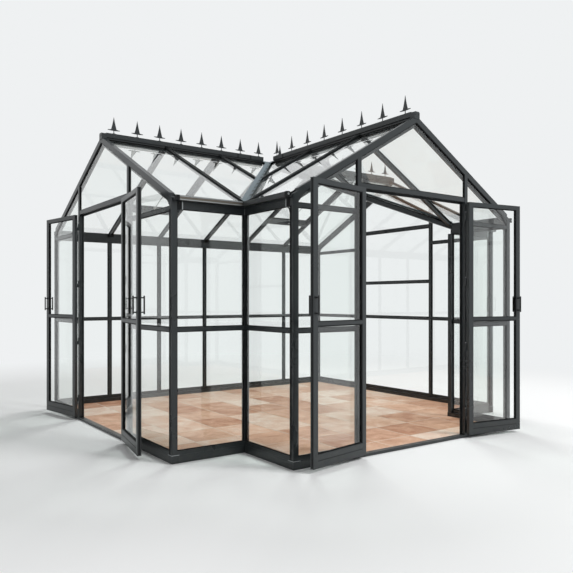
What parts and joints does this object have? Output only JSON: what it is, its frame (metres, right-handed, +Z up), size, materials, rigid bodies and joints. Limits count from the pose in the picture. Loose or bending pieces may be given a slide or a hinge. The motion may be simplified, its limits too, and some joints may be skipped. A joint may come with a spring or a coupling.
{
  "type": "glass greenhouse",
  "caption": "T-shaped glass greenhouse with dark metal frame, a front wing, ridge finials, roof vents, and double doors standing open at the front and side.",
  "frame": {"origin": "on the ground, under the point where the two ridges cross", "axes": "+X along the main ridge, towards the closed gable; -Y out of the front wing's doorway; +Z up"},
  "size_m": [3.8439, 3.6511, 2.802],
  "materials": {
    "frame_metal": "satin charcoal powder coat",
    "gutter_metal": "satin charcoal powder coat",
    "clear_glass": "clear, faint green tint",
    "floor_tile": "matt fired clay, varied terracotta",
    "handle_metal": "satin black",
    "hinge_metal": "satin dark grey"
  },
  "bodies": {
    "greenhouse": {"floor": "floor_tile", "base_plinth": "frame_metal", "door_thresholds": "frame_metal", "corner_posts": "frame_metal", "back_wall_mullions": "frame_metal", "door_jambs": "frame_metal", "right_gable_mullions": "frame_metal", "bottom_rails": "frame_metal", "middle_rails": "frame_metal", "gable_head_rails": "frame_metal", "eave_beams": "frame_metal", "ridge_beams": "frame_metal", "back_rafters": "frame_metal", "front_rafters": "frame_metal", "wing_rafters": "frame_metal", "gable_rafters": "frame_metal", "valley_bars": "frame_metal", "back_roof_glass": "clear_glass", "front_roof_glass": "clear_glass", "wing_roof_glass": "clear_glass", "roof_vent_frames": "frame_metal", "roof_vent_glass": "clear_glass", "ridge_caps": "frame_metal", "valley_plates": "frame_metal", "gutters": "gutter_metal", "gable_gussets": "frame_metal", "apex_plates": "frame_metal", "ridge_finials": "frame_metal", "gable_glass": "clear_glass", "back_wall_glass": "clear_glass", "front_short_wall_glass": "clear_glass", "door_hinges": "hinge_metal"},
    "front_door_left_leaf": {"front_door_left_leaf_frame": "frame_metal", "front_door_left_leaf_glass": "clear_glass", "front_door_left_leaf_handles": "handle_metal"},
    "front_door_right_leaf": {"front_door_right_leaf_frame": "frame_metal", "front_door_right_leaf_glass": "clear_glass", "front_door_right_leaf_handles": "handle_metal"},
    "side_door_near_leaf": {"side_door_near_leaf_frame": "frame_metal", "side_door_near_leaf_glass": "clear_glass", "side_door_near_leaf_handles": "handle_metal"},
    "side_door_far_leaf": {"side_door_far_leaf_frame": "frame_metal", "side_door_far_leaf_glass": "clear_glass", "side_door_far_leaf_handles": "handle_metal"}
  },
  "joints": [
    {"name": "front_door_left_hinge", "type": "hinge", "parent": "greenhouse", "child": "front_door_left_leaf", "pos_m": [-0.591, -2.028, 1], "axis": [0, 0, -1], "range_deg": [-170, 5]},
    {"name": "front_door_right_hinge", "type": "hinge", "parent": "greenhouse", "child": "front_door_right_leaf", "pos_m": [0.591, -2.028, 1], "axis": [0, 0, 1], "range_deg": [-171, 4]},
    {"name": "side_door_near_hinge", "type": "hinge", "parent": "greenhouse", "child": "side_door_near_leaf", "pos_m": [-1.838, -0.591, 1], "axis": [0, 0, 1], "range_deg": [-169.5, 5.5]},
    {"name": "side_door_far_hinge", "type": "hinge", "parent": "greenhouse", "child": "side_door_far_leaf", "pos_m": [-1.838, 0.591, 1], "axis": [0, 0, -1], "range_deg": [-169.5, 5.5]}
  ]
}
